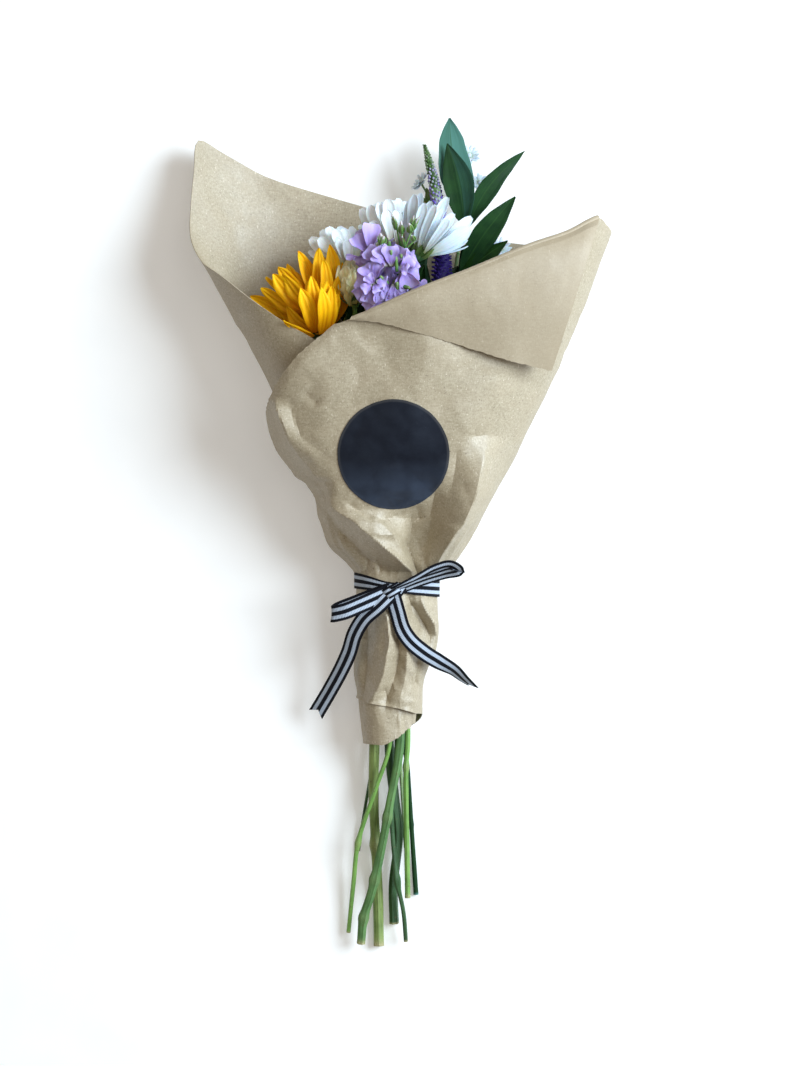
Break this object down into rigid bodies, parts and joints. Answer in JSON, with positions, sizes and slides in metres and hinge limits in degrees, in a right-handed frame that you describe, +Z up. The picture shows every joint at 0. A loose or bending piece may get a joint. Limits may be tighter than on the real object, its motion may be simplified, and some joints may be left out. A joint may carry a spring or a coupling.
{
  "type": "mixed flower bouquet",
  "caption": "Hand-tied mixed flower bouquet lying on its back, wrapped in folded kraft paper with a round dark label and a striped ribbon bow.",
  "frame": {"origin": "on the table, at the flat spot of the paper back that the bouquet lies on", "axes": "+Z up from the table, +Y from the cut stem ends to the blooms, +X to the right seen from above"},
  "size_m": [0.2432, 0.4872, 0.0994],
  "materials": {
    "kraft_paper": "matte, light brown",
    "label_paper": "satin, charcoal",
    "ribbon": "ribbed, black with two pale stripes",
    "stem_pale": "matte, dull green",
    "stem_light": "satin, light green",
    "stem_mid": "matte, mid green",
    "stem_dark": "matte, dark green",
    "violet_floret": "matte, deep violet",
    "leaf": "satin, dark green",
    "white_petal": "matte, white",
    "lilac_petal": "matte, lilac",
    "golden_petal": "matte, golden yellow",
    "brown_disc": "matte, dark brown",
    "cream_petal": "matte, cream",
    "green_disc": "matte, yellow-green"
  },
  "bodies": {
    "root": {"paper_wrap": "kraft_paper", "sticker": "label_paper", "ribbon_bow": "ribbon", "sunflower_stem": "stem_pale", "daisy_left_stem": "stem_dark", "daisy_centre_stem": "stem_dark", "daisy_right_stem": "stem_dark", "cream_bloom_stem": "stem_light", "stock_stem": "stem_mid", "veronica_stem": "stem_light", "veronica_spike": "violet_floret", "ruscus": "leaf", "aster_spray": "white_petal", "stock_buds": "stem_mid", "stock_florets": "lilac_petal", "sunflower_petals": "golden_petal", "sunflower_disc": "brown_disc", "cream_bloom": "cream_petal", "daisy_right_petals": "white_petal", "daisy_right_disc": "green_disc", "daisy_centre_petals": "white_petal", "daisy_centre_disc": "green_disc", "daisy_left_petals": "white_petal", "daisy_left_disc": "green_disc"}
  },
  "joints": []
}
